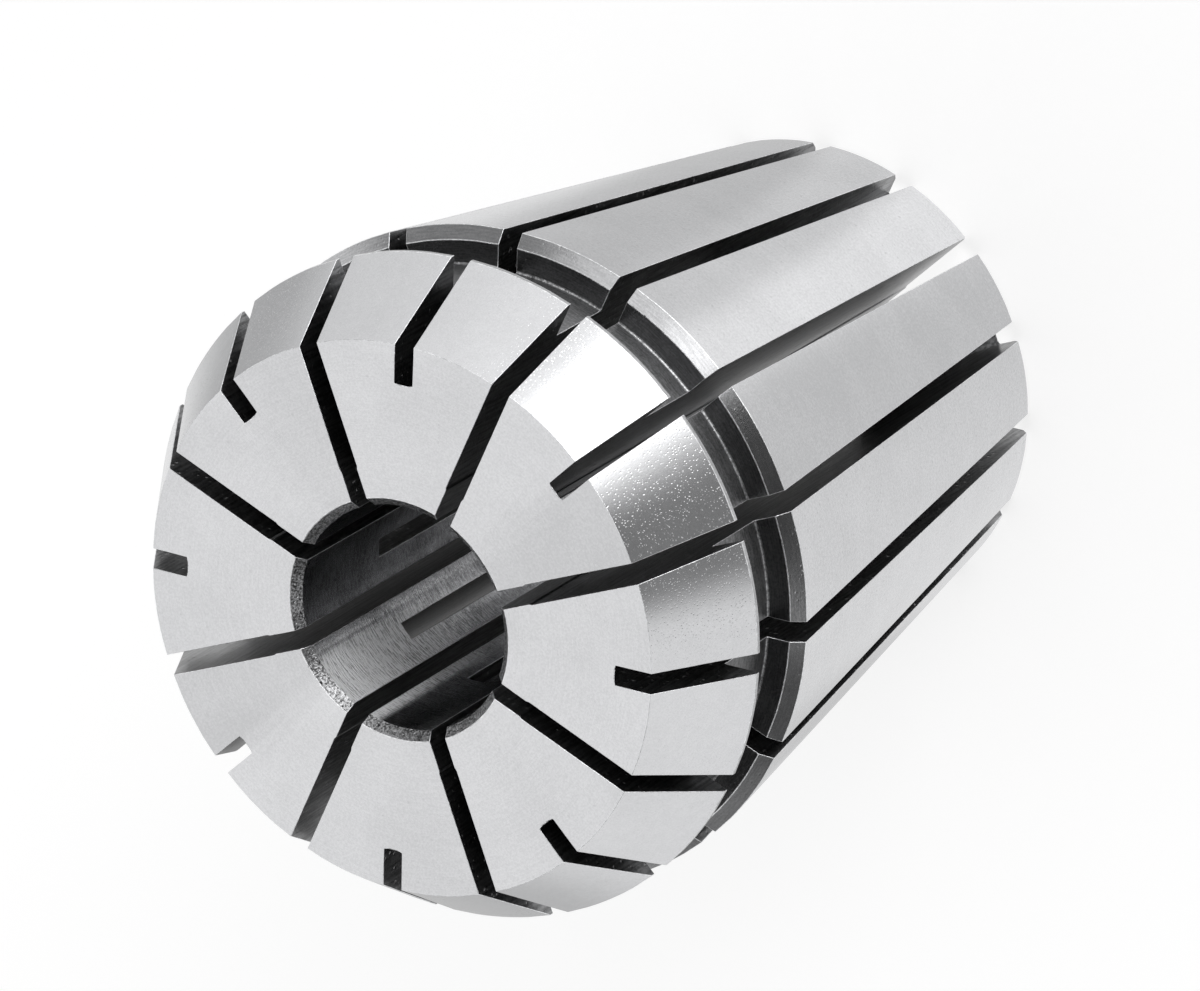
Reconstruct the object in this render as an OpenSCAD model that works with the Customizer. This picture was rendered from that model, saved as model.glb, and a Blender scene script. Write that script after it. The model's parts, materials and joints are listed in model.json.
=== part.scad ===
// Spring collet for a tapered chuck: one turned and slotted piece of hardened steel.
// It stands on its small rear face, with +Z along its axis towards the nose.

/* [Body] */
// Largest diameter, at the nose rim and at the start of the long taper
body_d = 33; // [30:0.5:42]
// Length from the rear face to the nose face
body_l = 40; // [34:0.5:50]
// Slope of the long taper, between its side and the axis
taper_deg = 8; // [5:0.5:9]
// Bevel around the edge of the rear face
rear_bevel = 0.3; // [0.1:0.05:0.8]

/* [Nose] */
// Length of the nose cone along the axis
nose_l = 4.9; // [3:0.1:6]
// Slope of the nose cone, between its side and the axis
nose_deg = 30; // [20:1:40]
// Length of the straight rim behind the nose cone
rim_l = 0.25; // [0.1:0.05:1]

/* [Extraction groove] */
// Depth of the groove's floor below the rim
groove_depth = 1.85; // [1:0.05:3]
// Length of the groove's floor along the axis
groove_l = 4; // [2:0.1:6]
// Height of the bevel between the groove's rear wall and the long taper
shoulder_h = 0.65; // [0.2:0.05:0.9]
// Length of that bevel along the axis
shoulder_l = 0.45; // [0.2:0.05:0.9]

/* [Bore] */
// Diameter of the bore that grips the shank, seven sixteenths of an inch
bore_d = 11.1125; // [9:0.0125:14]
// Bevel at each mouth of the bore
mouth_bevel = 0.44; // [0.1:0.02:0.8]

/* [Slots] */
// Number of slots sawn from each end
slots_per_end = 8; // [6:1:10]
// Width of a slot
slot_w = 1; // [0.8:0.05:1.2]
// Width of a slot in its narrower stretch beside the bore
root_w = 0.9; // [0.6:0.05:0.95]
// Height of that narrower stretch above the wall of the bore
root_h = 1.95; // [0.5:0.05:3]
// Diameter of the slotting saw, which leaves each slot's curved end
saw_d = 63; // [50:1:100]
// How far the saw's edge reaches past the wall of the bore
saw_reach = 4.8; // [2:0.1:6]
// How far a slot sawn from the rear cuts in over the edge of the nose face
nose_notch = 1.92; // [0.5:0.02:3]
// How far a slot sawn from the nose cuts in over the edge of the rear face
rear_notch = 1.25; // [0.5:0.05:3]

/* [Hidden] */

$fn = 180;
eps = 0.5;

body_r = body_d / 2;
bore_r = bore_d / 2;
saw_r = saw_d / 2;

// heights, from the nose face down to the long taper
rim_z = body_l - nose_l;
groove_top_z = rim_z - rim_l;
groove_bottom_z = groove_top_z - groove_l;
taper_z = groove_bottom_z - shoulder_l;

// radii of the two end faces, of the groove's floor and of a point on the long taper
nose_r = body_r - nose_l * tan(nose_deg);
groove_r = body_r - groove_depth;
function taper_r(z) = body_r - (taper_z - z) * tan(taper_deg);

// the saw's axis lies outside the body, and moves along a line parallel to the bore
saw_axis_r = bore_r - saw_reach + saw_r;
function saw_run(end_r) = sqrt(pow(saw_r, 2) - pow(saw_axis_r - end_r, 2));
// where the saw's axis stops: below the nose face, and above the rear face
rear_saw_z = body_l - saw_run(nose_r - nose_notch);
nose_saw_z = saw_run(taper_r(0) - rear_notch);

slot_step = 360 / slots_per_end;

// The blank, turned in one piece with its bore
module blank() {
    rotate_extrude()
        polygon([
            [bore_r + mouth_bevel, 0],
            [taper_r(0) - rear_bevel, 0],
            [taper_r(rear_bevel), rear_bevel],
            [body_r, taper_z],
            [body_r - shoulder_h, groove_bottom_z],
            [groove_r, groove_bottom_z],
            [groove_r, groove_top_z],
            [body_r, groove_top_z],
            [body_r, rim_z],
            [nose_r, body_l],
            [bore_r + mouth_bevel, body_l],
            [bore_r, body_l - mouth_bevel],
            [bore_r, mouth_bevel],
        ]);
}

// What a saw of width w clears when it comes in from below and its axis stops at saw_z
module saw_path(w, saw_z) {
    translate([saw_axis_r, 0, saw_z])
        rotate([90, 0, 0])
            cylinder(r = saw_r, h = w, center = true);
    translate([saw_axis_r - saw_r, -w / 2, -eps])
        cube([saw_r, w, saw_z + eps]);
}

// One slot sawn from below: full width outside, and narrower beside the bore
module slot(saw_z) {
    saw_path(root_w, saw_z);
    intersection() {
        saw_path(slot_w, saw_z);
        translate([bore_r + root_h, -slot_w, -eps])
            cube([body_r + eps, 2 * slot_w, body_l + 2 * eps]);
    }
}

module collet() {
    color([0.71, 0.72, 0.74])
        difference() {
            blank();
            // sawn from the rear face, and closed by a web beside the nose
            for (i = [0 : slots_per_end - 1])
                rotate([0, 0, (i + 0.5) * slot_step])
                    slot(rear_saw_z);
            // sawn from the nose face, and closed by a web beside the rear face
            for (i = [0 : slots_per_end - 1])
                rotate([0, 0, i * slot_step])
                    translate([0, 0, body_l])
                        mirror([0, 0, 1])
                            slot(body_l - nose_saw_z);
        }
}

collet();
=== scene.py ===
"""A spring collet in hardened steel: turned, sawn from both ends, and ground outside.

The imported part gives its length, its width and its bore. The collet is turned again here
with finer surfaces, sawn by a geometry node tree, and given broken edges and its finishes.
"""
import json
import math
import random
from collections import namedtuple

import bmesh
import bpy
from mathutils import Matrix, Vector


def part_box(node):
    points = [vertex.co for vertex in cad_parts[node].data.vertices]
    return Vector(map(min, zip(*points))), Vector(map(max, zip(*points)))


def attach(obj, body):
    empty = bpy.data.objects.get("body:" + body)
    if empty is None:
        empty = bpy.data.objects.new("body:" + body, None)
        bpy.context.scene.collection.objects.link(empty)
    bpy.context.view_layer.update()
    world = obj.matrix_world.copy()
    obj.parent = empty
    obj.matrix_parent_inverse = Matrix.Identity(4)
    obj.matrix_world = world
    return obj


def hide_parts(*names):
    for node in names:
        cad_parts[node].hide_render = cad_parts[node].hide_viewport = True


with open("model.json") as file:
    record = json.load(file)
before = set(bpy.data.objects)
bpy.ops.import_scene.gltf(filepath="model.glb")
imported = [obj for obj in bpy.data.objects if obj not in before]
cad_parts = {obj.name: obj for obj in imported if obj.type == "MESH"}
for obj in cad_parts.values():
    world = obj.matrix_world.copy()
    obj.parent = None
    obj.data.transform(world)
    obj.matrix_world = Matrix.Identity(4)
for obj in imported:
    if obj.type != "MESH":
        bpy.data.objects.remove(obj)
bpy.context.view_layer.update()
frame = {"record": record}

MM = 0.001
MICRON = 1e-6
NODE = "collet"
BODY = "root"


# Sizes, in metres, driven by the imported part
def mount_size(name, key):
    """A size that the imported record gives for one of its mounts, in metres."""
    mount = next(m for m in frame["record"]["mounts"] if m["name"] == name)
    return mount["dims"][key] * MM


SLOTS_PER_END = 8
SLOT_W = 1.0 * MM
# beside the bore a slot is narrower, up to this height above the bore's wall
ROOT_W = 0.9 * MM
ROOT_H = 1.95 * MM
ROOT_RAMP = 0.15 * MM

LOW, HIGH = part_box(NODE)
BODY_L = HIGH.z - LOW.z
# the box ends at the corners of the slots that lie on the X and Y axes
BODY_R = math.hypot(HIGH.x, SLOT_W / 2)
BORE_R = mount_size("shank_bore", "r_mm")

TAPER = math.radians(8)
REAR_BEVEL = 0.3 * MM
NOSE_L = 4.9 * MM
NOSE_SLOPE = math.radians(30)
RIM_L = 0.25 * MM
GROOVE_DEPTH = 1.85 * MM
GROOVE_L = 4.0 * MM
SHOULDER_H = 0.65 * MM
SHOULDER_L = 0.45 * MM
MOUTH_BEVEL = 0.44 * MM

# heights, from the nose cone down to the long taper, and the radii beside them
RIM_Z = BODY_L - NOSE_L
GROOVE_TOP_Z = RIM_Z - RIM_L
GROOVE_LOW_Z = GROOVE_TOP_Z - GROOVE_L
TAPER_Z = GROOVE_LOW_Z - SHOULDER_L
NOSE_R = BODY_R - NOSE_L * math.tan(NOSE_SLOPE)
GROOVE_R = BODY_R - GROOVE_DEPTH
REAR_R = BODY_R - TAPER_Z * math.tan(TAPER)

# the slotting saw, how far its edge reaches past the bore's wall, and how far it cuts in
# over the edge of the end face that it stops at
SAW_R = 31.5 * MM
SAW_REACH = 4.8 * MM
SAW_AXIS_R = BORE_R - SAW_REACH + SAW_R
NOSE_NOTCH = 1.92 * MM
REAR_NOTCH = 1.25 * MM
SAW_CLEAR = 2 * MM
SAW_ARC_STEPS = 9

EDGE_BREAK = 0.06 * MM
NOSE_BREAK = 0.02 * MM
NOTCH_BREAK = 0.1 * MM
GROOVE_FILLET = 0.12 * MM

# The turned surfaces, in order round the outline from the rear mouth of the bore
TURNED = [
    "rear_face", "rear_bevel", "taper", "shoulder", "groove_wall", "groove_floor", "head_back",
    "rim", "nose_cone", "nose_face", "nose_mouth", "bore", "rear_mouth",
]
SURFACES = [*TURNED, "sawn", "edge", "burr", "groove_corner"]
# The thin surfaces that round a corner off, and are shaded from one side of it to the other
BLENDS = ("edge", "burr", "groove_corner")

# Where the blank's outline is repeated within one pitch of the slots, in degrees: in the middle
# of a land, and on both sides of it clear of the slots' walls
PITCH = 360 / (2 * SLOTS_PER_END)
SIDE_TURNS = [1.2, 6.1, 7.8, 9.5]
OUTLINE_TURNS = [*SIDE_TURNS, PITCH / 2, *(PITCH - turn for turn in reversed(SIDE_TURNS))]


def outline():
    """The corners of the turned section, as (radius, height), in the order of TURNED."""
    return [
        (BORE_R + MOUTH_BEVEL, 0),
        (REAR_R - REAR_BEVEL, 0),
        (REAR_R + REAR_BEVEL * math.tan(TAPER), REAR_BEVEL),
        (BODY_R, TAPER_Z),
        (BODY_R - SHOULDER_H, GROOVE_LOW_Z),
        (GROOVE_R, GROOVE_LOW_Z),
        (GROOVE_R, GROOVE_TOP_Z),
        (BODY_R, GROOVE_TOP_Z),
        (BODY_R, RIM_Z),
        (NOSE_R, BODY_L),
        (BORE_R + MOUTH_BEVEL, BODY_L),
        (BORE_R, BODY_L - MOUTH_BEVEL),
        (BORE_R, MOUTH_BEVEL),
    ]


def outward_slopes():
    """For each turned surface, how far its outward normal points away from the axis and up."""
    corners = outline()
    slopes = []
    for here, there in zip(corners, corners[1:] + corners[:1]):
        out = Vector((there[1] - here[1], here[0] - there[0])).normalized()
        slopes.append((out.x, out.y))
    return slopes


# Meshes
def new_object(name, data):
    """An object in the scene, at the origin."""
    made = bpy.data.objects.new(name, data)
    bpy.context.scene.collection.objects.link(made)
    return made


def outline_ring(bm, angle):
    """The corners of the outline at one angle round the axis."""
    return [bm.verts.new((r * math.cos(angle), r * math.sin(angle), z)) for r, z in outline()]


def turned_blank():
    """The collet before it is sawn, with each face marked by the surface that it belongs to."""
    bm = bmesh.new()
    surface = bm.faces.layers.int.new("surface")
    rings = []
    for pitch in range(2 * SLOTS_PER_END):
        for turn in OUTLINE_TURNS:
            rings.append(outline_ring(bm, math.radians(pitch * PITCH + turn)))
    for ring, after in zip(rings, rings[1:] + rings[:1]):
        for i in range(len(ring)):
            j = (i + 1) % len(ring)
            face = bm.faces.new((ring[i], after[i], after[j], ring[j]))
            face[surface] = i
    mesh = bpy.data.meshes.new("blank")
    bm.to_mesh(mesh)
    bm.free()
    return new_object("blank", mesh)


def saw_arc(stop_z, start_r, end_r):
    """Points on the saw's edge, as (radius, height), when its axis has stopped at stop_z."""
    start = math.acos((SAW_AXIS_R - start_r) / SAW_R)
    end = math.acos((SAW_AXIS_R - end_r) / SAW_R)
    turns = [start + (end - start) * i / SAW_ARC_STEPS for i in range(SAW_ARC_STEPS + 1)]
    return [(SAW_AXIS_R - SAW_R * math.cos(t), stop_z + SAW_R * math.sin(t)) for t in turns]


def saw_path(name, stop_z):
    """What the saw clears on its way in from below: narrow beside the bore, wider outside."""
    inner_r = SAW_AXIS_R - SAW_R
    ramp_r = BORE_R + ROOT_H - ROOT_RAMP / 2
    full_r = ramp_r + ROOT_RAMP
    outer_r = BODY_R + SAW_CLEAR
    # each station is (radius, height, half of the width)
    top = [(r, z, ROOT_W / 2) for r, z in saw_arc(stop_z, inner_r, ramp_r)]
    top += [(r, z, SLOT_W / 2) for r, z in saw_arc(stop_z, full_r, outer_r)]
    bm = bmesh.new()
    surface = bm.faces.layers.int.new("surface")
    columns = []
    for r, z, half in top:
        corners = ((-half, -SAW_CLEAR), (half, -SAW_CLEAR), (half, z), (-half, z))
        columns.append([bm.verts.new((r, y, height)) for y, height in corners])
    bm.faces.new(columns[0])
    bm.faces.new(columns[-1])
    for near, far in zip(columns, columns[1:]):
        for i in range(4):
            j = (i + 1) % 4
            bm.faces.new((near[i], near[j], far[j], far[i]))
    bmesh.ops.recalc_face_normals(bm, faces=bm.faces[:])
    # the strips of each flat wall become one face
    flat = math.radians(0.05)
    bmesh.ops.dissolve_limit(bm, angle_limit=flat, verts=bm.verts[:], edges=bm.edges[:])
    for face in bm.faces:
        face[surface] = SURFACES.index("sawn")
    mesh = bpy.data.meshes.new(name)
    bm.to_mesh(mesh)
    bm.free()
    return new_object(name, mesh)


def saw_run(end_r):
    """How far above the saw's axis its edge crosses the radius end_r."""
    return math.sqrt(SAW_R ** 2 - (SAW_AXIS_R - end_r) ** 2)


# Node trees
FLOAT = "NodeSocketFloat"


class Tree:
    """A node tree, with short calls to add nodes and join them."""

    def __init__(self, tree):
        self.tree = tree

    def add(self, kind, **settings):
        """Adds a node of this kind."""
        node = self.tree.nodes.new(kind)
        for name, value in settings.items():
            setattr(node, name, value)
        return node

    def put(self, value, socket):
        """Links an output to a socket, or sets the socket to a plain value."""
        if isinstance(value, bpy.types.NodeSocket):
            self.tree.links.new(value, socket)
        else:
            socket.default_value = value

    def call(self, kind, inputs, output=0, **settings):
        """Adds a node, fills its inputs by name or number, and gives one of its outputs."""
        node = self.add(kind, **settings)
        for key, value in inputs.items():
            self.put(value, node.inputs[key])
        return node.outputs[output]

    def math(self, operation, *values):
        """One step of arithmetic."""
        return self.call("ShaderNodeMath", dict(enumerate(values)), operation=operation)

    def smooth(self, value, low, high):
        """0 below low, 1 above high, and a smooth step between them."""
        inputs = {"Value": value, "From Min": low, "From Max": high}
        return self.call("ShaderNodeMapRange", inputs, interpolation_type="SMOOTHSTEP")

    def spread(self, noise):
        """A noise spread over 0 to 1, because most of it lies near its middle."""
        return self.smooth(noise, 0.3, 0.7)

    def blend(self, share, low, high):
        """low where share is 0, high where it is 1, for plain numbers."""
        return self.call("ShaderNodeMix", {"Factor": share, 2: low, 3: high})

    def tint(self, share, low, high):
        """The same for colours."""
        return self.call("ShaderNodeMix", {0: share, 6: low, 7: high}, 2, data_type="RGBA")

    def join(self, x, y, z):
        """A vector from its three parts."""
        return self.call("ShaderNodeCombineXYZ", {0: x, 1: y, 2: z})

    def split(self, vector):
        """The three parts of a vector."""
        node = self.add("ShaderNodeSeparateXYZ")
        self.put(vector, node.inputs[0])
        return node.outputs


def new_group(name, kind, inputs, outputs):
    """An empty node group with named sockets, and its input and output nodes."""
    group = bpy.data.node_groups.new(name, kind)
    face = group.interface
    for socket_name, socket_kind, default in inputs:
        socket = face.new_socket(name=socket_name, in_out="INPUT", socket_type=socket_kind)
        if default is not None:
            socket.default_value = default
    for socket_name, socket_kind in outputs:
        face.new_socket(name=socket_name, in_out="OUTPUT", socket_type=socket_kind)
    tree = Tree(group)
    return tree, tree.add("NodeGroupInput").outputs, tree.add("NodeGroupOutput").inputs


def shader_group(name, inputs, outputs):
    """A group for shaders, whose sockets all carry plain numbers."""
    takes = [(socket, FLOAT, default) for socket, default in inputs.items()]
    gives = [(socket, FLOAT) for socket in outputs]
    return new_group(name, "ShaderNodeTree", takes, gives)


def slotting_tree():
    """Saws the blank from both ends: one saw path each, repeated round the axis and cut away."""
    inputs = [
        ("Blank", "NodeSocketGeometry", None),
        ("Slots per end", "NodeSocketInt", SLOTS_PER_END),
        ("Body length", FLOAT, BODY_L),
        ("Rear saw path", "NodeSocketObject", None),
        ("Nose saw path", "NodeSocketObject", None),
        ("Steel", "NodeSocketMaterial", None),
    ]
    outputs = [("Collet", "NodeSocketGeometry")]
    tree, given, result = new_group("sawn_slots", "GeometryNodeTree", inputs, outputs)
    step = tree.math("DIVIDE", 2 * math.pi, given["Slots per end"])
    number = tree.call("GeometryNodeInputIndex", {})
    cut = tree.add("GeometryNodeMeshBoolean", operation="DIFFERENCE", solver="MANIFOLD")
    tree.put(given["Blank"], cut.inputs[0])
    # the rear saw path comes in from below; the nose one is turned over and comes in from above
    ends = (("Rear saw path", 0.5, 0.0, 0.0), ("Nose saw path", 0.0, math.pi, given["Body length"]))
    for path, first, turned_over, height in ends:
        place = tree.join(0.0, 0.0, height)
        line = {"Count": given["Slots per end"], "Start Location": place, "Offset": (0, 0, 0)}
        points = tree.call("GeometryNodeMeshLine", line, mode="OFFSET")
        angle = tree.math("MULTIPLY", tree.math("ADD", number, first), step)
        shape = tree.call("GeometryNodeObjectInfo", {"Object": given[path]}, "Geometry")
        turn = tree.join(turned_over, 0.0, angle)
        placed = {"Points": points, "Instance": shape, "Rotation": turn}
        paths = tree.call("GeometryNodeInstanceOnPoints", placed)
        tree.put(tree.call("GeometryNodeRealizeInstances", {"Geometry": paths}), cut.inputs[1])
    whole = tree.call("GeometryNodeRealizeInstances", {"Geometry": cut.outputs[0]})
    steel = tree.call("GeometryNodeSetMaterial", {"Geometry": whole, "Material": given["Steel"]})
    tree.put(steel, result["Collet"])
    return tree.tree


def set_inputs(modifier, values):
    """Sets a geometry node modifier's inputs, each by its socket's identifier."""
    sockets = {s.name: s.identifier for s in modifier.node_group.interface.items_tree}
    for name, value in values.items():
        modifier[sockets[name]] = value


def sawn_collet(steel):
    """The blank with all its slots, as a plain mesh in an object of its own."""
    blank = turned_blank()
    rear = saw_path("rear_saw_path", BODY_L - saw_run(NOSE_R - NOSE_NOTCH))
    nose = saw_path("nose_saw_path", BODY_L - saw_run(REAR_R - REAR_NOTCH))
    modifier = blank.modifiers.new("slots", "NODES")
    modifier.node_group = slotting_tree()
    values = {
        "Slots per end": SLOTS_PER_END, "Body length": BODY_L,
        "Rear saw path": rear, "Nose saw path": nose, "Steel": steel,
    }
    set_inputs(modifier, values)
    graph = bpy.context.evaluated_depsgraph_get()
    mesh = bpy.data.meshes.new_from_object(blank.evaluated_get(graph))
    mesh.name = "ground_collet"
    for helper in (blank, rear, nose):
        bpy.data.objects.remove(helper)
    return new_object("ground_collet", mesh)


# Edges
# An edge runs across a slot when it goes no further along it than this share of its length
ACROSS_A_SLOT = 0.3


def named_faces(edge, surface):
    """The names of the surfaces that meet at an edge, in alphabetical order."""
    return sorted(SURFACES[face[surface]] for face in edge.link_faces)


def is_groove_corner(edge, surface):
    """The inner corners beside the groove's floor."""
    names = named_faces(edge, surface)
    return "groove_floor" in names and ("groove_wall" in names or "head_back" in names)


def is_notch_end(edge, surface):
    """The short edge over the curved end of a slot, where it breaks through an end face."""
    if named_faces(edge, surface) not in (["nose_face", "sawn"], ["rear_face", "sawn"]):
        return False
    start, end = (vert.co for vert in edge.verts)
    away = Vector((start.x + end.x, start.y + end.y, 0)).normalized()
    return abs((end - start).normalized().dot(away)) < ACROSS_A_SLOT


def is_nose_corner(edge, surface):
    """The corner between the nose face and the cone, which is left almost sharp."""
    return named_faces(edge, surface) == ["nose_cone", "nose_face"]


def is_mouth_corner(edge, surface):
    """Where the bore meets the bevel of a mouth, which is left sharp."""
    return named_faces(edge, surface) in (["bore", "nose_mouth"], ["bore", "rear_mouth"])


def is_broken_edge(edge, surface):
    """Every other sharp edge between two surfaces."""
    names = named_faces(edge, surface)
    if names[0] == names[1] or "burr" in names or not edge.is_convex:
        return False
    return not is_nose_corner(edge, surface) and not is_mouth_corner(edge, surface)


def break_edges(bm, surface, wanted, width, segments, result):
    """Rounds the wanted edges a little, and marks the new faces as a surface of their own."""
    edges = [e for e in bm.edges if len(e.link_faces) == 2 and wanted(e, surface)]
    made = bmesh.ops.bevel(
        bm, geom=edges, offset=width, offset_type="OFFSET", segments=segments, profile=0.5,
        affect="EDGES", clamp_overlap=True, loop_slide=True)
    for face in made["faces"]:
        face[surface] = SURFACES.index(result)


def finish_edges(mesh):
    """Breaks the edges and fills the groove's corners.

    A bevel is held to the smallest face beside it, so the one that leaves the smallest comes last.
    """
    bm = bmesh.new()
    bm.from_mesh(mesh)
    surface = bm.faces.layers.int["surface"]
    break_edges(bm, surface, is_notch_end, NOTCH_BREAK, 2, "burr")
    break_edges(bm, surface, is_broken_edge, EDGE_BREAK, 2, "edge")
    break_edges(bm, surface, is_nose_corner, NOSE_BREAK, 1, "edge")
    break_edges(bm, surface, is_groove_corner, GROOVE_FILLET, 3, "groove_corner")
    bm.to_mesh(mesh)
    bm.free()


# Normals
def surface_normal(name, place, flat, slopes):
    """The true normal of a turned surface at one place, or the face's own on a sawn wall."""
    if name not in TURNED:
        return flat
    out, up = slopes[TURNED.index(name)]
    away = Vector((place.x, place.y, 0)).normalized()
    return Vector((away.x * out, away.y * out, up))


def set_true_normals(mesh):
    """Shades each face as the surface that it lies on, and blends the broken edges between."""
    slopes = outward_slopes()
    surface = [SURFACES[value.value] for value in mesh.attributes["surface"].data]
    # for each point, the normals of the surfaces beside it, and of the blends around it
    beside = [Vector() for _ in mesh.vertices]
    within = [Vector() for _ in mesh.vertices]
    for face in mesh.polygons:
        for number in face.vertices:
            if surface[face.index] in BLENDS:
                within[number] += face.normal * face.area
            else:
                place = mesh.vertices[number].co
                beside[number] += surface_normal(surface[face.index], place, face.normal, slopes)
    normals = [Vector()] * len(mesh.loops)
    for face in mesh.polygons:
        for corner in face.loop_indices:
            number = mesh.loops[corner].vertex_index
            if surface[face.index] in BLENDS:
                on_a_surface = beside[number].length > 0.1
                normal = beside[number] if on_a_surface else within[number]
            else:
                place = mesh.vertices[number].co
                normal = surface_normal(surface[face.index], place, face.normal, slopes)
            normals[corner] = normal.normalized()
    mesh.polygons.foreach_set("use_smooth", [True] * len(mesh.polygons))
    mesh.normals_split_custom_set(normals)


# Lands, the strips between two slots: how much their tones differ, on either side of the middle,
# and how many degrees of web at each side of a land share the tones of both
LANDS = 2 * SLOTS_PER_END
LAND_SPREAD = 0.2
LAND_SEED = 32
WEB_TURN = 1.3
# Lands painted darker or lighter, as their reflections look, counted round from +X: those below 0
# are darker
SHEEN_PAINTED_LANDS = {0: 0.4, 2: -1.0, 6: -0.4, 10: -0.9, 11: 0.4, 15: 0.0}


def land_tones_and_painted_sheen():
    """How much darker or lighter each land looks: a random tone, and on the listed lands painted
    sheen.
    """
    rng = random.Random(LAND_SEED)
    tones = [rng.uniform(-LAND_SPREAD, LAND_SPREAD) for _ in range(LANDS)]
    for number, tone in SHEEN_PAINTED_LANDS.items():
        tones[number] = tone
    return tones


def mark_land_tones_and_painted_sheen(mesh):
    """Gives each land a slightly different tone: a random one, and on the listed lands a painted
    sheen, darker or lighter as its reflection looks.
    """
    tones = land_tones_and_painted_sheen()
    web = WEB_TURN / PITCH
    land = mesh.attributes.new("land_tone_and_painted_sheen", "FLOAT", "POINT")
    for vertex in mesh.vertices:
        turn = math.degrees(math.atan2(vertex.co.y, vertex.co.x)) % 360 / PITCH
        here = int(turn) % LANDS
        past = turn % 1
        if past < web:
            tone = (tones[here] + tones[here - 1]) / 2
        elif past > 1 - web:
            tone = (tones[here] + tones[(here + 1) % LANDS]) / 2
        else:
            tone = tones[here]
        land.data[vertex.index].value = tone


# Effects that the finishes share
def object_place(tree):
    """Where a point lies in the collet's own frame."""
    return tree.call("ShaderNodeTexCoord", {}, "Object")


def radius_of(tree, x, y):
    """How far a point lies from the axis."""
    square = tree.math("ADD", tree.math("MULTIPLY", x, x), tree.math("MULTIPLY", y, y))
    return tree.math("SQRT", square)


def round_marks_group():
    """Marks that run round the axis, as a tool or a grinding wheel leaves them."""
    inputs = {"Spacing": 0.1 * MM, "Streaks": 20.0}
    tree, given, result = shader_group("round_marks", inputs, ["Marks"])
    x, y, z = tree.split(object_place(tree))
    radius = radius_of(tree, x, y)
    # a sum of height and radius changes along every turned surface, also on the flat faces
    radius_share = 2.3
    along = tree.math("MULTIPLY_ADD", radius, radius_share, z)
    across = tree.math("DIVIDE", along, given["Spacing"])
    round_x = tree.math("MULTIPLY", tree.math("DIVIDE", x, radius), given["Streaks"])
    round_y = tree.math("MULTIPLY", tree.math("DIVIDE", y, radius), given["Streaks"])
    noise = {"Vector": tree.join(round_x, round_y, across), "Scale": 1.0, "Detail": 2.0}
    tree.put(tree.call("ShaderNodeTexNoise", noise, "Fac"), result["Marks"])
    return tree.tree


def saw_marks_group():
    """Streaks along the axis, as a slotting saw leaves them on the walls of its cut."""
    inputs = {"Spacing": 0.2 * MM, "Streaks": 14.0}
    tree, given, result = shader_group("saw_marks", inputs, ["Marks"])
    place = tree.split(object_place(tree))
    x, y, z = (tree.math("DIVIDE", axis, given["Spacing"]) for axis in place)
    stretched = tree.join(x, y, tree.math("DIVIDE", z, given["Streaks"]))
    noise = {"Vector": stretched, "Scale": 1.0, "Detail": 3.0}
    tree.put(tree.call("ShaderNodeTexNoise", noise, "Fac"), result["Marks"])
    return tree.tree


def pit_depth(tree, place, gap, share):
    """One round pit in a share of the cells, each with a size of its own: 1 at a deep middle."""
    widest = 0.45
    smallest = 0.00001
    cells = tree.add("ShaderNodeTexVoronoi")
    tree.put(place, cells.inputs["Vector"])
    tree.put(tree.math("DIVIDE", 1.0, gap), cells.inputs["Scale"])
    chance = tree.call("ShaderNodeSeparateColor", {"Color": cells.outputs["Color"]}, "Red")
    size = tree.math("DIVIDE", tree.math("SUBTRACT", share, chance), share)
    size = tree.math("SQRT", tree.math("MAXIMUM", size, smallest))
    hollow = tree.smooth(cells.outputs["Distance"], tree.math("MULTIPLY", size, widest), 0.0)
    return tree.math("MULTIPLY", hollow, size)


def grain_group():
    """The fine grain of the steel, its small pits, and slow cloudy changes across it."""
    inputs = {"Grain size": 0.12 * MM, "Cloud size": 4 * MM, "Pit gap": 0.2 * MM, "Pit share": 0.5}
    tree, given, result = shader_group("steel_grain", inputs, ["Grain", "Pits", "Cloud"])
    place = object_place(tree)
    for size, detail, output in (("Grain size", 2.0, "Grain"), ("Cloud size", 3.0, "Cloud")):
        noise = {"Vector": place, "Scale": tree.math("DIVIDE", 1.0, given[size]), "Detail": detail}
        tree.put(tree.call("ShaderNodeTexNoise", noise, "Fac"), result[output])
    tree.put(pit_depth(tree, place, given["Pit gap"], given["Pit share"]), result["Pits"])
    return tree.tree


def scratch_group():
    """Sparse hair scratches in two directions."""
    # which way each set runs, how much longer than wide it is, where a noise is high enough
    # to be a scratch, how far the amount lowers that, and how soft its sides are
    turns = (0.5, 2.0)
    slender = 45
    rare = 0.84
    lowering = 0.2
    softness = 0.05
    inputs = {"Length": 3 * MM, "Amount": 0.3}
    tree, given, result = shader_group("hair_scratches", inputs, ["Scratches"])
    scale = tree.math("DIVIDE", 1.0, given["Length"])
    masks = []
    for turn in turns:
        place = object_place(tree)
        stretch = (1, slender, slender)
        mapping = {"Vector": place, "Rotation": (0.3, 0.2, turn), "Scale": stretch}
        stretched = tree.call("ShaderNodeMapping", mapping)
        field = {"Vector": stretched, "Scale": scale, "Detail": 1.0}
        noise = tree.call("ShaderNodeTexNoise", field, "Fac")
        edge = tree.math("SUBTRACT", rare, tree.math("MULTIPLY", given["Amount"], lowering))
        masks.append(tree.smooth(noise, edge, tree.math("ADD", edge, softness)))
    tree.put(tree.math("MAXIMUM", *masks), result["Scratches"])
    return tree.tree


GROUPS = {}


def shared_group(name):
    """One of the shared effects, built the first time that it is asked for."""
    makers = {
        "round_marks": round_marks_group, "saw_marks": saw_marks_group,
        "steel_grain": grain_group, "hair_scratches": scratch_group,
    }
    if name not in GROUPS:
        GROUPS[name] = makers[name]()
    return GROUPS[name]


def use_group(tree, name, values):
    """Places a shared effect in a material with its own values, and gives its outputs."""
    node = tree.add("ShaderNodeGroup", node_tree=shared_group(name))
    for key, value in values.items():
        node.inputs[key].default_value = value
    return node.outputs
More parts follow.
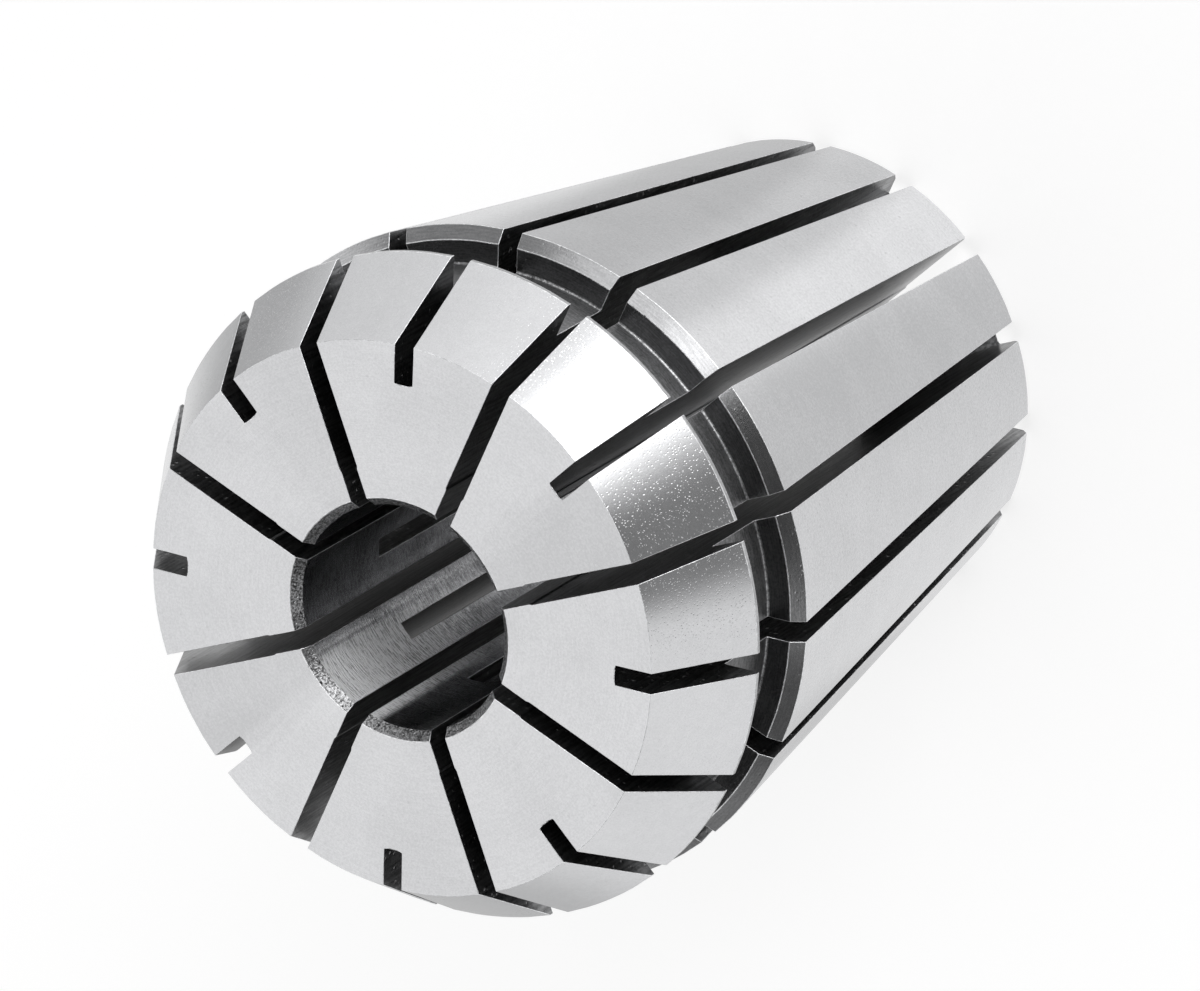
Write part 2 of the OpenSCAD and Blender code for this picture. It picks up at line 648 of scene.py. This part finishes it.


# Where the reamer has torn the bore, with a painted highlight on its streaks: how far down from the
# nose it reaches, down to where it is at its worst, which side it lies on, and how near that side,
# as a cosine, it starts and is full
TORN_AND_HIGHLIGHT_DEPTH = 15 * MM
TORN_AND_HIGHLIGHT_FULL = 1 * MM
TORN_AND_HIGHLIGHT_SIDE = math.radians(-101)
TORN_AND_HIGHLIGHT_EDGE = (0.91, 0.95)


def torn_share(tree):
    """0 in the sound part of the bore, rising to 1 at the nose on the torn side, where the streaks
    get a painted highlight.
    """
    x, y, z = tree.split(object_place(tree))
    high = tree.smooth(z, BODY_L - TORN_AND_HIGHLIGHT_DEPTH, BODY_L - TORN_AND_HIGHLIGHT_FULL)
    side_x = tree.math("MULTIPLY", x, math.cos(TORN_AND_HIGHLIGHT_SIDE))
    side_y = tree.math("MULTIPLY", y, math.sin(TORN_AND_HIGHLIGHT_SIDE))
    aside = tree.math("DIVIDE", tree.math("ADD", side_x, side_y), radius_of(tree, x, y))
    return tree.math("MULTIPLY", high, tree.smooth(aside, *TORN_AND_HIGHLIGHT_EDGE))


# Finishes
STEEL_TINT = (0.992, 0.997, 1.015)


def grey(level):
    """A steel grey, very slightly blue."""
    return (*(level * part for part in STEEL_TINT), 1.0)


# What a finish is made of. Greys and shares are 0 to 1, sizes in millimetres, depths in microns.
PLAIN_FINISH = {
    # the darkest and the lightest grey
    "greys": (0.6, 0.8),
    # how much of the grey follows the tool marks, the clouds and the grain
    "tones": (0.4, 0.2, 0.2),
    # how much of it follows the lands' tones, with their painted sheen
    "land": 0.0,
    # the roughness, and how far the clouds change it
    "gloss": (0.25, 0.08),
    # how much it mirrors; less where it is ragged and scatters the light
    "metal": 1.0,
    # tool marks: spacing, streaks, depth; round the axis more streaks are shorter ones, and
    # along it each is that many times longer than wide
    "marks": (0.1, 20, 3),
    # whether the marks run along the axis, and not round it
    "along": False,
    # grain: size, depth
    "grain": (0.12, 3),
    # pits: distance between them, share of places with one, depth, darkening
    "pits": (0.2, 0.5, 3, 0),
    # hair scratches: how many
    "scratch": 0.0,
    # where it is torn: added roughness, depth of the marks, how much lighter its streaks are
    # painted as a painted highlight, and how much less it mirrors
    "torn": None,
}
HAIR_ROUGHNESS = 0.12


def finish_tone(tree, look, tool, fine, torn):
    """Where the grey lies between the darkest and the lightest."""
    tone = 0.5
    for share, value in zip(look["tones"], (tool, fine["Cloud"], fine["Grain"])):
        change = tree.math("SUBTRACT", tree.spread(value), 0.5)
        tone = tree.math("MULTIPLY_ADD", change, share, tone)
    darkening = look["pits"][3]
    if darkening:
        tone = tree.math("MULTIPLY_ADD", fine["Pits"], -darkening, tone)
    # the lands' tones: random, and painted sheen on the listed lands
    if look["land"]:
        lands = tree.call("ShaderNodeAttribute", {}, "Fac", attribute_name="land_tone_and_painted_sheen")
        tone = tree.math("MULTIPLY_ADD", lands, look["land"], tone)
    if look["torn"]:
        # a painted highlight: the torn side's streaks are painted lighter near the nose
        streaks = tree.math("MULTIPLY", torn, tree.spread(tool))
        tone = tree.math("MULTIPLY_ADD", streaks, look["torn"][2], tone)
    return tone


def finish_roughness(tree, look, fine, torn):
    """How rough the surface is, for the shader."""
    base, spread = look["gloss"]
    rough = tree.math("MULTIPLY_ADD", fine["Cloud"], spread, base - spread / 2)
    if look["scratch"]:
        hair = use_group(tree, "hair_scratches", {"Amount": look["scratch"]})["Scratches"]
        rough = tree.math("MULTIPLY_ADD", hair, HAIR_ROUGHNESS, rough)
    if look["torn"]:
        rough = tree.math("MULTIPLY_ADD", torn, look["torn"][0], rough)
    return rough


def finish_height(tree, look, tool, fine, torn):
    """The height of the surface in millimetres."""
    depth = look["marks"][2] * MICRON / MM
    if look["torn"]:
        depth = tree.math("MULTIPLY_ADD", torn, look["torn"][1] * MICRON / MM, depth)
    height = tree.math("MULTIPLY", tool, depth)
    height = tree.math("MULTIPLY_ADD", fine["Grain"], look["grain"][1] * MICRON / MM, height)
    pit = look["pits"][2]
    if pit:
        height = tree.math("MULTIPLY_ADD", fine["Pits"], -pit * MICRON / MM, height)
    return height


def steel_finish(name, **changes):
    """A bare steel finish: the plain one, with changes."""
    look = {**PLAIN_FINISH, **changes}
    material = bpy.data.materials.new(name)
    material.use_nodes = True
    tree = Tree(material.node_tree)
    shader = material.node_tree.nodes["Principled BSDF"]
    spacing, streaks = look["marks"][:2]
    gap, share = look["pits"][:2]
    kind = "saw_marks" if look["along"] else "round_marks"
    tool = use_group(tree, kind, {"Spacing": spacing * MM, "Streaks": streaks})["Marks"]
    grain = {"Grain size": look["grain"][0] * MM, "Pit gap": gap * MM, "Pit share": share}
    fine = use_group(tree, "steel_grain", grain)
    torn = None
    shader.inputs["Metallic"].default_value = look["metal"]
    if look["torn"]:
        torn = torn_share(tree)
        mirror = tree.math("MULTIPLY_ADD", torn, -look["torn"][3], look["metal"])
        tree.put(mirror, shader.inputs["Metallic"])
    dark, light = look["greys"]
    tone = finish_tone(tree, look, tool, fine, torn)
    tree.put(tree.tint(tone, grey(dark), grey(light)), shader.inputs["Base Color"])
    tree.put(finish_roughness(tree, look, fine, torn), shader.inputs["Roughness"])
    height = finish_height(tree, look, tool, fine, torn)
    bump = tree.call("ShaderNodeBump", {"Strength": 1.0, "Distance": MM, "Height": height})
    tree.put(bump, shader.inputs["Normal"])
    return material


def ground_finishes():
    """The surfaces that a grinding wheel has finished: the taper, the nose cone and the face."""
    taper = steel_finish(
        "ground_taper_steel", greys=(0.58, 0.80), tones=(0.16, 0.2, 0.36), land=0.35,
        gloss=(0.22, 0.05), marks=(0.09, 5, 2), grain=(0.12, 2), pits=(0.22, 0.15, 3, 1.0),
        scratch=0.2)
    cone = steel_finish(
        "ground_cone_steel", greys=(0.60, 0.80), tones=(0.1, 0.1, 0.2), land=0.2,
        gloss=(0.16, 0.04), marks=(0.12, 30, 0.5), grain=(0.1, 1.2), pits=(0.11, 0.9, 8, 0))
    face = steel_finish(
        "lapped_face_steel", greys=(0.61, 0.82), tones=(0.14, 0.2, 0.28), land=0.35,
        gloss=(0.25, 0.06), marks=(0.12, 7, 1.5), grain=(0.11, 1.5), pits=(0.3, 0.2, 1, 0.3),
        scratch=0.4)
    return {
        "rear_face": taper, "rear_bevel": taper, "taper": taper,
        "nose_cone": cone, "nose_face": face,
    }


def turned_finishes():
    """The groove and its sides, left as the lathe and the hardening left them."""
    floor = steel_finish(
        "groove_floor_steel", greys=(0.12, 0.34), tones=(0.5, 0.2, 0.4), gloss=(0.45, 0.1),
        marks=(0.10, 20, 3), grain=(0.1, 3), pits=(0.2, 0.5, 8, 0.5))
    rim = steel_finish(
        "turned_rim_steel", greys=(0.34, 0.60), tones=(0.5, 0.2, 0.4), gloss=(0.28, 0.1),
        marks=(0.10, 20, 3), grain=(0.1, 3))
    wall = steel_finish(
        "groove_wall_steel", greys=(0.10, 0.24), tones=(0.5, 0.2, 0.4), gloss=(0.28, 0.1),
        marks=(0.11, 20, 3), grain=(0.1, 3), pits=(0.2, 0.5, 10, 0))
    shoulder = steel_finish(
        "turned_shoulder_steel", greys=(0.42, 0.66), tones=(0.4, 0.2, 0.3), gloss=(0.17, 0.06),
        marks=(0.10, 18, 1), grain=(0.12, 2), pits=(0.2, 0.4, 4, 0))
    corner = steel_finish(
        "groove_corner_steel", greys=(0.16, 0.5), tones=(0.3, 0.4, 0.8), gloss=(0.38, 0.1),
        marks=(0.1, 30, 2), grain=(0.14, 12), pits=(0.16, 0.8, 20, 0))
    return {
        "shoulder": shoulder, "groove_wall": wall, "groove_floor": floor, "head_back": wall,
        "rim": rim, "groove_corner": corner,
    }


def bored_finishes():
    """The reamed bore, and the rough bevels at its mouths."""
    # its torn side near the nose carries a painted highlight on its streaks
    bore = steel_finish(
        "reamed_bore_steel", greys=(0.06, 0.84), tones=(0.4, 0.4, 0.3), gloss=(0.16, 0.08),
        marks=(0.07, 10, 8), grain=(0.12, 3), pits=(0.25, 0.4, 10, 0.3),
        torn=(0.35, 60, 1.1, 0.75))
    mouth = steel_finish(
        "rough_mouth_steel", greys=(0.04, 0.42), tones=(0.3, 0.4, 1.0), gloss=(0.24, 0.2),
        marks=(0.09, 10, 16), grain=(0.1, 20), pits=(0.18, 0.9, 60, 0))
    return {"nose_mouth": mouth, "bore": bore, "rear_mouth": mouth}


def sawn_finishes():
    """The dark walls of the slots, dark partly from their oxide and partly from painted shade, and
    the bright edges and burrs beside them.
    """
    # the slot walls' low greys are partly oxide and partly painted shade of the deep, narrow slots
    wall = steel_finish(
        "sawn_slot_steel_with_painted_shade", greys=(0.12, 0.36), tones=(0.8, 0.3, 0.3), gloss=(0.33, 0.1),
        marks=(0.16, 14, 5), along=True, grain=(0.14, 6), pits=(0.3, 0.5, 25, 0))
    edge = steel_finish(
        "broken_edge_steel", greys=(0.6, 1.0), tones=(0.2, 0.4, 0.8), gloss=(0.4, 0.1),
        marks=(0.12, 30, 2), grain=(0.2, 12), pits=(0.2, 0.6, 30, 0))
    burr = steel_finish(
        "burred_edge_steel", greys=(0.5, 1.0), tones=(0.3, 0.4, 1.0), gloss=(0.7, 0.2),
        metal=0.4, marks=(0.12, 10, 10), grain=(0.12, 60), pits=(0.16, 0.7, 60, 0))
    return {"sawn": wall, "edge": edge, "burr": burr}


def dress(mesh, finish_of):
    """Gives each face the finish of its surface."""
    used = list(dict.fromkeys(finish_of[name] for name in SURFACES))
    mesh.materials.clear()
    for material in used:
        mesh.materials.append(material)
    places = [used.index(finish_of[name]) for name in SURFACES]
    numbers = [places[value.value] for value in mesh.attributes["surface"].data]
    mesh.polygons.foreach_set("material_index", numbers)


def make_collet():
    """The collet, with its edges, its finishes and its place in the frame."""
    finish_of = {**ground_finishes(), **turned_finishes(), **bored_finishes(), **sawn_finishes()}
    collet = sawn_collet(finish_of["taper"])
    finish_edges(collet.data)
    mark_land_tones_and_painted_sheen(collet.data)
    dress(collet.data, finish_of)
    set_true_normals(collet.data)
    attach(collet, BODY)
    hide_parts(NODE)


# Studio
DOME_LIGHT = 0.92
# A soft panel round the object, which the steel mirrors: where its middle lies, how far it
# reaches to each side and up and down, how soft its rim is, all in degrees, and how bright it is
Panel = namedtuple("Panel", "azimuth elevation half_width half_height softness light")
# Each covers the ones before it. Below the horizon they lie on the floor.
PANELS = [
    # a bright strip with a brighter core, over a wide pale panel
    Panel(108, 20, 20, 60, 14, 1.08),
    Panel(81.5, 22, 16, 44, 6, 1.8),
    Panel(82, 18, 11, 26, 4, 4.0),
    # dark screens on both sides of the strip, and a grey one on the horizon
    Panel(40, 22, 18, 36, 7, 0.25),
    Panel(28, 56, 46, 12, 5, 0.06),
    Panel(160, 34, 24, 16, 8, 0.30),
    Panel(156, -8, 12, 10, 10, 0.84),
    # dark screens opposite the strip
    Panel(-50, 16, 28, 10, 8, 0.22),
    Panel(-34, 37, 26, 13, 8, 0.10),
    # shaded stretches of the floor
    Panel(189, -23, 20, 10, 12, 0.50),
    Panel(-92, -34, 28, 17, 13, 0.57),
    # lighter and darker bands of the floor near the collet's foot
    Panel(0, -68, 75, 20, 8, 0.87),
    Panel(135, -66, 26, 20, 11, 0.66),
    Panel(101, -68, 10, 23, 7, 0.80),
    Panel(79, -66, 11, 24, 5, 1.06),
    Panel(48, -66, 15, 22, 8, 0.82),
    Panel(-116, -56, 32, 12, 6, 0.22),
    Panel(-72, -68, 8, 10, 6, 1.15),
    Panel(-48, -54, 14, 16, 8, 0.70),
]
# The floor's panels lie where a point at this height above its middle sees them
NOSE_HEIGHT = 37 * MM


def panel_group():
    """How much of a soft panel covers a direction."""
    names = [
        "Azimuth", "Elevation", "Centre azimuth", "Centre elevation",
        "Half width", "Half height", "Softness",
    ]
    tree, given, result = shader_group("soft_panel", dict.fromkeys(names, 0.0), ["Mask"])
    aside = tree.math("SUBTRACT", given["Azimuth"], given["Centre azimuth"])
    aside = tree.math("ABSOLUTE", tree.math("WRAP", aside, 180.0, -180.0))
    above = tree.math("SUBTRACT", given["Elevation"], given["Centre elevation"])
    above = tree.math("ABSOLUTE", above)
    masks = []
    for distance, half in ((aside, given["Half width"]), (above, given["Half height"])):
        inner = tree.math("SUBTRACT", half, given["Softness"])
        outer = tree.math("ADD", half, given["Softness"])
        masks.append(tree.math("SUBTRACT", 1.0, tree.smooth(distance, inner, outer)))
    tree.put(tree.math("MULTIPLY", *masks), result["Mask"])
    return tree.tree


def panels_above():
    """The panels that reach above the horizon."""
    return [p for p in PANELS if p.elevation + p.half_height + p.softness > 0]


def panels_below():
    """The panels that reach below the horizon, and so onto the floor."""
    return [p for p in PANELS if p.elevation - p.half_height - p.softness < 0]


def studio_light_group(name, mask, panels):
    """How bright the studio is in one direction: a plain dome, with the soft panels over it."""
    inputs = {"Azimuth": 0.0, "Elevation": 0.0}
    tree, given, result = shader_group(name, inputs, ["Light"])
    light = DOME_LIGHT
    for panel in panels:
        node = tree.add("ShaderNodeGroup", node_tree=mask)
        settings = {
            "Azimuth": given["Azimuth"], "Elevation": given["Elevation"],
            "Centre azimuth": panel.azimuth, "Centre elevation": panel.elevation,
            "Half width": panel.half_width, "Half height": panel.half_height,
            "Softness": panel.softness,
        }
        for setting, value in settings.items():
            tree.put(value, node.inputs[setting])
        light = tree.blend(node.outputs["Mask"], light, panel.light)
    tree.put(light, result["Light"])
    return tree.tree


def direction_angle(tree, up, level):
    """The angle of a direction in degrees, from how far it goes up and how far it goes level."""
    return tree.math("MULTIPLY", tree.math("ARCTAN2", up, level), 180 / math.pi)


def lit_from(tree, group, x, y, z):
    """The studio's light in the direction x, y, z."""
    node = tree.add("ShaderNodeGroup", node_tree=group)
    tree.put(direction_angle(tree, y, x), node.inputs["Azimuth"])
    tree.put(direction_angle(tree, z, radius_of(tree, x, y)), node.inputs["Elevation"])
    return node.outputs["Light"]


def studio_world(group):
    """White for the camera, and the studio's panels for all that it lights."""
    world = bpy.data.worlds.new("studio")
    world.use_nodes = True
    tree = Tree(world.node_tree)
    background = world.node_tree.nodes["Background"]
    background.inputs["Color"].default_value = (1, 1, 1, 1)
    way = tree.split(tree.call("ShaderNodeTexCoord", {}, "Generated"))
    light = lit_from(tree, group, *way)
    seen = tree.call("ShaderNodeLightPath", {}, "Is Camera Ray")
    tree.put(tree.blend(seen, light, 1.0), background.inputs["Strength"])
    bpy.context.scene.world = world


# The floor: how far it reaches, how pale it is for the light that it scatters, and what the
# camera sees of it, a glow with a matt part that takes the shadow; it glows a little more under
# the collet, where no light falls
FLOOR_HALF = 1.5
FLOOR_GREY = 0.8
SEEN_MATT = 0.32
SEEN_GLOW = 0.74
GLOW_UNDER = 0.16
UNDER_SOFT = 1.0 * MM


def plain_grey(level):
    """A colour without any tint."""
    return (level, level, level, 1)


def floor_as_seen(tree, x, y):
    """What the camera sees of the floor: white, with the object's shadow."""
    foot = tree.smooth(radius_of(tree, x, y), REAR_R - UNDER_SOFT, REAR_R)
    under = tree.math("SUBTRACT", 1.0, foot)
    matt = tree.call("ShaderNodeBsdfDiffuse", {"Color": plain_grey(SEEN_MATT)})
    level = tree.math("MULTIPLY_ADD", under, GLOW_UNDER, SEEN_GLOW)
    glow = tree.call("ShaderNodeEmission", {"Color": plain_grey(1), "Strength": level})
    return tree.call("ShaderNodeAddShader", {0: matt, 1: glow})


def floor_material(group):
    """Pale for the light, white with a shadow for the camera, and the studio's panels for metal."""
    material = bpy.data.materials.new("studio_floor")
    material.use_nodes = True
    tree = Tree(material.node_tree)
    material.node_tree.nodes.clear()
    x, y, _ = tree.split(object_place(tree))
    mirrored = lit_from(tree, group, x, y, -NOSE_HEIGHT)
    mirror = tree.call("ShaderNodeEmission", {"Color": plain_grey(1), "Strength": mirrored})
    plain = tree.call("ShaderNodeBsdfDiffuse", {"Color": plain_grey(FLOOR_GREY)})
    path = tree.add("ShaderNodeLightPath").outputs
    lit = tree.call("ShaderNodeMixShader", {0: path["Is Glossy Ray"], 1: plain, 2: mirror})
    seen = floor_as_seen(tree, x, y)
    mixed = tree.call("ShaderNodeMixShader", {0: path["Is Camera Ray"], 1: lit, 2: seen})
    output = tree.add("ShaderNodeOutputMaterial")
    tree.put(mixed, output.inputs["Surface"])
    return material


def make_floor(group):
    """A flat square under the collet."""
    half = FLOOR_HALF
    corners = [(-half, -half, 0), (half, -half, 0), (half, half, 0), (-half, half, 0)]
    mesh = bpy.data.meshes.new("floor")
    mesh.from_pydata(corners, [], [(0, 1, 2, 3)])
    mesh.materials.append(floor_material(group))
    floor = new_object("floor", mesh)


def make_studio():
    """The world above the horizon and the floor below it, with the panels that each mirrors."""
    mask = panel_group()
    studio_world(studio_light_group("room_light", mask, panels_above()))
    make_floor(studio_light_group("floor_light", mask, panels_below()))


# Camera, fitted to the photograph in the collet's own frame; its lens and sensor in millimetres
CAMERA_AT = Vector((118.08, 211.34, 352.42)) * MM
CAMERA_AIM = Vector((-0.613, -0.687, 20.0)) * MM
CAMERA_UP = Vector((-0.5489, 0.7797, -0.3013))
CAMERA_LENS = 254.05
SENSOR_WIDTH = 36
CAMERA_NEAR = 0.01
CAMERA_FAR = 10


def make_camera():
    """The photograph's camera, rolled as the photograph is."""
    data = bpy.data.cameras.new("camera")
    data.lens = CAMERA_LENS
    data.sensor_width = SENSOR_WIDTH
    data.clip_start = CAMERA_NEAR
    data.clip_end = CAMERA_FAR
    camera = new_object("camera", data)
    back = (CAMERA_AT - CAMERA_AIM).normalized()
    right = CAMERA_UP.cross(back).normalized()
    up = back.cross(right)
    turn = Matrix((right, up, back)).transposed()
    camera.matrix_world = Matrix.Translation(CAMERA_AT) @ turn.to_4x4()
    bpy.context.scene.camera = camera


make_camera()
make_studio()
make_collet()
bpy.context.scene.view_settings.view_transform = "Standard"
